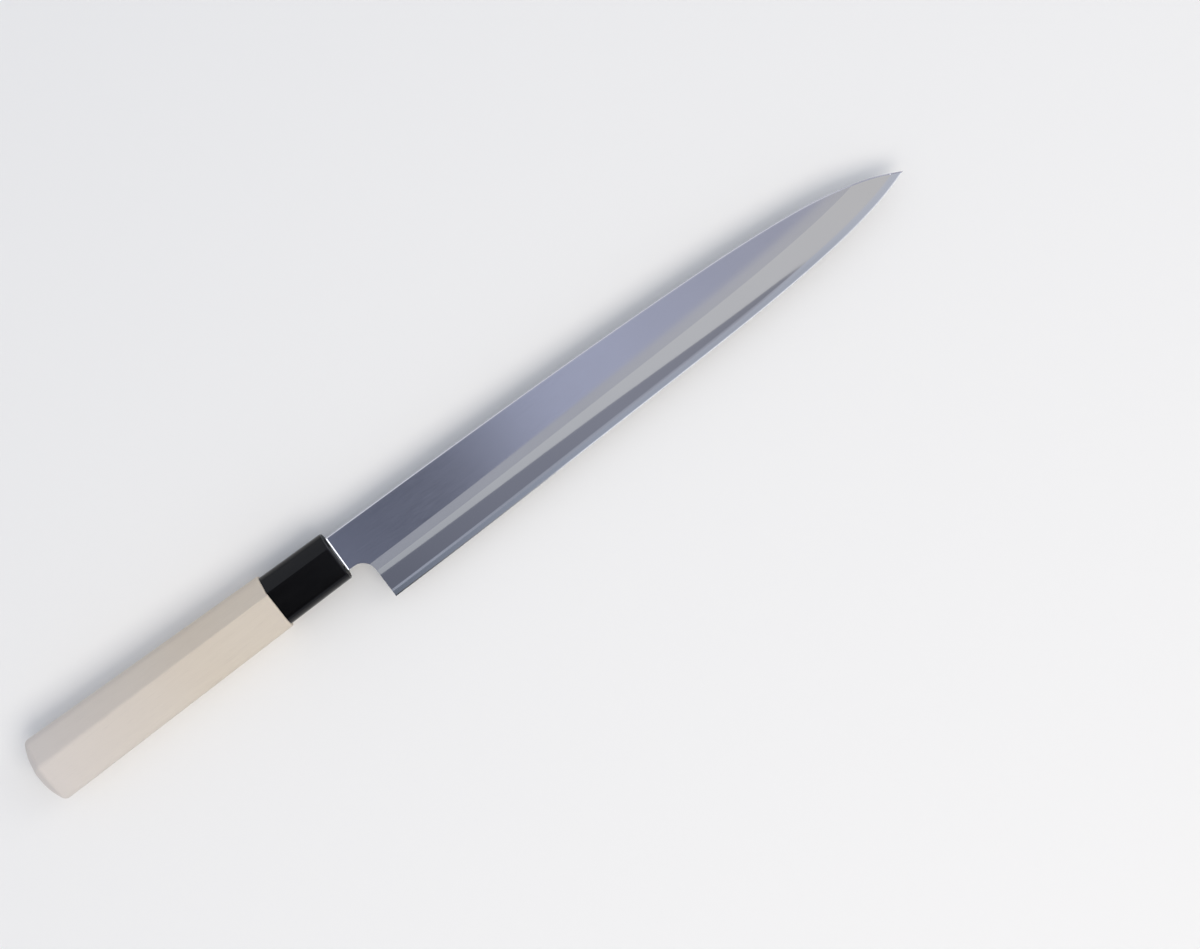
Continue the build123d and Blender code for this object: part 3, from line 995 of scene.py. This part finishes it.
class KNIFE_OT_handle(bpy.types.Operator):
    """Build the wooden handle, its collar and the bead of resin at its mouth"""

    bl_idname = "knife.handle"
    bl_label = "Handle"

    def execute(self, context):
        s = context.scene.knife_handle
        blade = context.scene.knife_blade
        crease_angle = 30
        bead_crease_angle = 40
        mesh = build_wood(s)
        add_piece("handle_wood", mesh, [magnolia_wood(s)], crease_angle, "handle")
        # Buffed on its sides: a soft, deep gloss
        buffed = black_horn("buffed_black_collar", s, roughness=0.17, specular=0.24)
        # Only sanded on its front: matt
        sanded = black_horn("sanded_black_end", s, roughness=0.55, specular=0.2)
        mesh = build_collar(s, blade)
        add_piece("ferrule_black", mesh, [buffed, sanded], crease_angle, "ferrule")
        resin = cured_resin(s)
        mesh = build_bead(s, blade)
        add_piece("mouth_seal_resin", mesh, [resin], bead_crease_angle, "mouth_seal")
        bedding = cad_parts["tang_bedding"]
        bedding.data.materials.clear()
        bedding.data.materials.append(resin)
        return {"FINISHED"}


# Stage
def area_light(name, place, aim, size, power, colour):
    """A soft rectangular lamp at a place, turned to its aim. Gloss sees the cards in its stead."""
    data = bpy.data.lights.new(name, "AREA")
    data.shape = "RECTANGLE"
    data.size, data.size_y = size
    data.energy = power
    data.color = linear(colour)[:3]
    lamp = bpy.data.objects.new(name, data)
    lamp.visible_glossy = False
    bpy.context.scene.collection.objects.link(lamp)
    lamp.location = place
    direction = Vector(aim) - Vector(place)
    lamp.rotation_mode = "QUATERNION"
    lamp.rotation_quaternion = direction.to_track_quat("-Z", "Y")


def card(name, places, low, high, levels, colours, height=1.0):
    """A plain strip over the knife that only its gloss reflects. It runs through the given places along
    X between a low and a high border, with a brightness at each place, and its colour changes from the
    first to the second of two between the handle's end and the tip's."""
    tint_start, tint_length = -0.06, 0.5
    count = len(places)
    corners = np.zeros((2 * count, 3))
    corners[:, 0] = np.tile(places, 2)
    corners[:count, 1] = low
    corners[count:, 1] = high
    corners[:, 2] = height
    left = np.arange(count - 1)
    mesh = make_mesh(name, corners, np.stack([left, left + 1, left + 1 + count, left + count], -1))
    along = np.clip((places - tint_start) / tint_length, 0, 1)[:, None]
    first, second = (np.array(linear(colour)) for colour in colours)
    glow = mix_along(first, second, along) * np.array(levels)[:, None]
    glow = np.tile(glow, (2, 1)).astype(np.float32)
    mesh.attributes.new("glow", "FLOAT_COLOR", "POINT").data.foreach_set("color", glow.ravel())
    material, tree, shader = new_material(name)
    light = add_node(tree, "ShaderNodeAttribute", {"attribute_name": "glow"}).outputs["Color"]
    fill(tree, shader, {"Base Color": (0, 0, 0, 1), "Roughness": 1.0, "Specular IOR Level": 0.0})
    fill(tree, shader, {"Emission Color": light, "Emission Strength": 1.0})
    mesh.materials.append(material)
    sheet = bpy.data.objects.new(name, mesh)
    bpy.context.scene.collection.objects.link(sheet)
    for ray in ("camera", "diffuse", "shadow", "transmission", "volume_scatter"):
        setattr(sheet, f"visible_{ray}", False)


def straight(places, x, y, slope):
    """Heights at the given places on the straight line through (x, y)."""
    return y + slope * (places - x)


def hang_cards():
    """Hangs the strips that the gloss reflects. Every plane of the grind mirrors a strip of its own. The
    borders between the strips lie a metre up, where each plane turns back the camera's rays, and a
    strip's levels are the brightness that its plane shows along the blade. The shade strip between
    those of the glint and the bevel is the dark wedge on the bevel."""
    sky_border = (-0.055, -0.13, 0.2)
    places = np.array([-0.5, -0.06, 0.05, 0.15, 0.3, 0.345, 0.45, 0.8])
    bevel_line = straight(places, -0.058, -0.457, slope=0.369)
    bevel_line[4:7] = (-0.332, -0.319, -0.285)
    shade_line = straight(places, -0.068, -0.595, slope=0.62)
    shade_line[5:] = bevel_line[5:] - 0.001
    glint_line = shade_line - 0.05
    edge_line = glint_line - 0.2
    hone_line = edge_line - 0.7
    band_line = straight(places, -0.055, -0.35, slope=0.39)
    sky_line = straight(places, *sky_border)
    edge_levels = [0.28, 0.35, 0.51, 0.64, 0.65, 0.68, 0.80, 0.79]
    glint_levels = [0.66, 0.66, 0.57, 0.64, 0.71, 0.75, 0.80, 0.80]
    shade_levels = [0.2, 0.28, 0.37, 0.44, 0.42, 0.42, 0.8, 0.8]
    bevel_levels = [0.6, 0.65, 0.73, 0.80, 0.83, 0.83, 0.83, 0.83]
    band_levels = [0.5, 0.60, 0.69, 0.78, 0.82, 0.81, 0.82, 0.82]
    card("card_hone", places, hone_line, edge_line, [1.35] * 8, ("fafbff", "fcfcff"))
    card("card_edge", places, edge_line, glint_line, edge_levels, ("e0eaff", "f1f5ff"))
    card("card_glint", places, glint_line, shade_line, glint_levels, ("e9efff", "f2f5ff"))
    card("card_shade", places, shade_line, bevel_line, shade_levels, ("e2e7ff", "eeedf8"))
    card("card_bevel", places, bevel_line, band_line, bevel_levels, ("f6f9ff", "fdfaf8"))
    card("card_band", places, band_line, sky_line, band_levels, ("f4f7ff", "fbf8f6"))

    # Over the flat side, and beyond it what the blade mirrors in slanted views
    places = np.array([-0.5, -0.06, 0.022, 0.1, 0.15, 0.3, 0.345, 0.45, 0.8])
    sky_line = straight(places, *sky_border)
    sky_levels = [1.2, 0.26, 0.185, 0.94, 0.90, 0.67, 0.69, 0.74, 0.77]
    card("card_sky", places, sky_line, sky_line + 0.8, sky_levels, ("d9e1ff", "eeeefd"))
    card("card_rim", np.array([-1.5, 3.0]), 0.85, 3.0, [1.15, 1.15], ("fafbff", "fcfcff"))
    card("card_tip", np.array([0.8, 1.3, 3.0]), -0.6, 0.85, [0.79, 1.15, 1.15], ("f3f3fd", "f3f3fd"))

    # A little lower than the rest, the light in the filed line and the dark in the collar's gloss
    under = 0.99
    card("card_shoulder", np.array([0.56, 0.76]), -0.05, 0.13, [3.0, 3.0], ("fafbff", "fafbff"), under)
    places = np.array([-0.7, -0.088, -0.0879, 0.1])
    dark_line = np.array([-0.47, -0.47, -0.76, -0.64])
    card("card_collar", places, -2.2, dark_line, [0.03, 0.03, 0.1, 0.7], ("ffffff", "ffffff"), under)


def lay_floor(settings):
    """Lays one large square of floor at the height of the solids' lowest point."""
    low = SOLIDS_BOX[0].z
    half = 4.0
    corners = np.array([(-half, -half, low), (half, -half, low), (half, half, low), (-half, half, low)])
    mesh = make_mesh("floor", corners, np.array([[0, 1, 2, 3]]))
    mesh.materials.append(pale_floor(settings))
    floor = bpy.data.objects.new("floor", mesh)
    bpy.context.scene.collection.objects.link(floor)


def light_room(settings):
    """Soft, slightly cool light from all sides. The camera sees the even tone of the sweep in its stead."""
    world = bpy.data.worlds.new("soft_room")
    world.use_nodes = True
    tree = world.node_tree
    room = tree.nodes["Background"]
    fill(tree, room, {"Color": (*settings.room_colour, 1), "Strength": 0.72})
    sweep = add_node(tree, "ShaderNodeBackground", {"Color": (*settings.sweep_colour, 1)})
    to_camera = add_node(tree, "ShaderNodeLightPath").outputs["Is Camera Ray"]
    seen = add_node(
        tree, "ShaderNodeMixShader",
        {0: to_camera, 1: room.outputs["Background"], 2: sweep.outputs["Background"]},
    ).outputs["Shader"]
    fill(tree, tree.nodes["World Output"], {"Surface": seen})
    bpy.context.scene.world = world


def set_camera(settings):
    """Looks straight down on the knife, turned so that the knife lies slanted in the picture."""
    sensor_width = 36.0
    camera = bpy.data.objects.new("camera", bpy.data.cameras.new("camera"))
    bpy.context.scene.collection.objects.link(camera)
    camera.location = (settings.centre_x, settings.centre_y, settings.camera_height)
    camera.rotation_euler = (0, 0, -settings.turn)
    camera.data.sensor_width = sensor_width
    camera.data.lens = sensor_width * settings.camera_height / settings.view_width
    bpy.context.scene.camera = camera


class KNIFE_OT_stage(bpy.types.Operator):
    """Lay the pale floor and set the soft lights and the camera"""

    bl_idname = "knife.stage"
    bl_label = "Stage"

    def execute(self, context):
        settings = context.scene.knife_stage
        lay_floor(settings)
        light_room(settings)
        area_light("lamp_edge_side", (0.0, -0.75, 1.25), (0.05, 0.0, 0.0), (1.2, 0.8), 9, "fff6e8")
        area_light("lamp_tip_side", (1.3, -0.1, 1.1), (0.1, 0.0, 0.0), (0.8, 1.0), 3, "fff9f2")
        hang_cards()
        set_camera(settings)
        context.scene.view_settings.view_transform = "Standard"
        return {"FINISHED"}


# Panel and start
class KNIFE_PT_panel(bpy.types.Panel):
    """Sidebar panel with the knife's sizes and its build steps"""

    bl_idname = "KNIFE_PT_panel"
    bl_label = "Yanagiba knife"
    bl_space_type = "VIEW_3D"
    bl_region_type = "UI"
    bl_category = "Knife"

    def draw(self, context):
        for operator in (KNIFE_OT_blade, KNIFE_OT_handle, KNIFE_OT_stage):
            self.layout.operator(operator.bl_idname)
        for group in ("knife_blade", "knife_handle", "knife_stage"):
            settings = getattr(context.scene, group)
            box = self.layout.box()
            for key in settings.__annotations__:
                box.prop(settings, key)


CLASSES = (
    BladeSizes,
    HandleSizes,
    StageSettings,
    KNIFE_OT_blade,
    KNIFE_OT_handle,
    KNIFE_OT_stage,
    KNIFE_PT_panel,
)


def register():
    for each in CLASSES:
        bpy.utils.register_class(each)
    bpy.types.Scene.knife_blade = bpy.props.PointerProperty(type=BladeSizes)
    bpy.types.Scene.knife_handle = bpy.props.PointerProperty(type=HandleSizes)
    bpy.types.Scene.knife_stage = bpy.props.PointerProperty(type=StageSettings)


def unregister():
    del bpy.types.Scene.knife_blade, bpy.types.Scene.knife_handle, bpy.types.Scene.knife_stage
    for each in reversed(CLASSES):
        bpy.utils.unregister_class(each)


def main():
    """Builds the knife and the stage."""
    register()
    bpy.ops.knife.blade()
    bpy.ops.knife.handle()
    bpy.ops.knife.stage()


if __name__ == "__main__":
    main()
